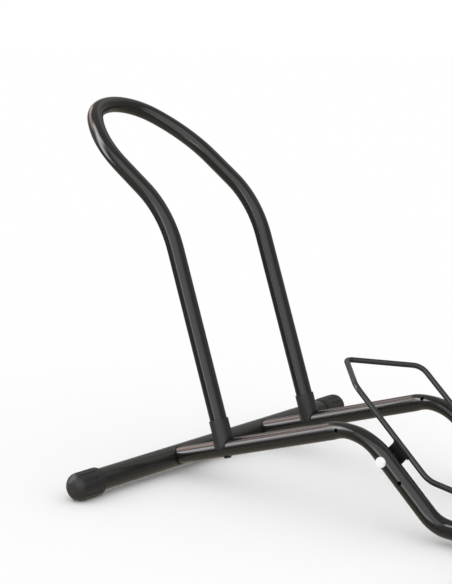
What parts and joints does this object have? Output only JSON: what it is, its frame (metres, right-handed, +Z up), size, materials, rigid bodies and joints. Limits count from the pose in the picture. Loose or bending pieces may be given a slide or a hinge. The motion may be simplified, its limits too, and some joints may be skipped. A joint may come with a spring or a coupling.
{
  "type": "floor bike rack",
  "caption": "Free-standing floor rack for one bicycle: tube base, wheel hoop, knee rails, tilting bent rod wheel cradle and grooved end caps.",
  "frame": {"origin": "on the floor, under the middle of the rack's whole length and width", "axes": "+Z up, +X along the rails from the hoop towards the end where the wheel rolls in, +Y along the cross tubes"},
  "size_m": [0.7992, 0.552, 0.4842],
  "materials": {
    "black_coat": "gloss powder coat over welded steel tube",
    "sleeve_coat": "satin gloss powder coat",
    "rod_coat": "satin powder coat on bent rod",
    "plate_coat": "matt powder coat on flat steel",
    "cap_plastic": "matt moulded plastic",
    "cover_plastic": "white moulded plastic",
    "washer_plastic": "black moulded plastic",
    "fastener": "blackened steel",
    "plug_steel": "zinc plated steel"
  },
  "bodies": {
    "stand": {"front_cross_tube": "black_coat", "front_left_cap": "cap_plastic", "front_left_rail_bead": "black_coat", "front_right_cap": "cap_plastic", "front_right_rail_bead": "black_coat", "hoop": "black_coat", "left_hoop_bolt": "fastener", "left_leg_plug": "plug_steel", "left_pivot_bolt": "fastener", "left_pivot_cover": "cover_plastic", "left_pivot_nut": "fastener", "left_pivot_washer": "washer_plastic", "left_rail": "black_coat", "left_sleeve": "sleeve_coat", "left_sleeve_bead": "black_coat", "rear_cross_tube": "black_coat", "rear_left_cap": "cap_plastic", "rear_left_rail_bead": "black_coat", "rear_right_cap": "cap_plastic", "rear_right_rail_bead": "black_coat", "right_hoop_bolt": "fastener", "right_leg_plug": "plug_steel", "right_pivot_bolt": "fastener", "right_pivot_cover": "cover_plastic", "right_pivot_nut": "fastener", "right_pivot_washer": "washer_plastic", "right_rail": "black_coat", "right_sleeve": "sleeve_coat", "right_sleeve_bead": "black_coat"},
    "cradle": {"left_pivot_plate": "plate_coat", "left_plate_bead": "plate_coat", "right_pivot_plate": "plate_coat", "right_plate_bead": "plate_coat", "wheel_cradle": "rod_coat"}
  },
  "joints": [
    {"name": "cradle_tilt", "type": "hinge", "parent": "stand", "child": "cradle", "pos_m": [0.15994, 0, 0.08183], "axis": [0, -1, 0], "range_deg": [0, 64]}
  ]
}
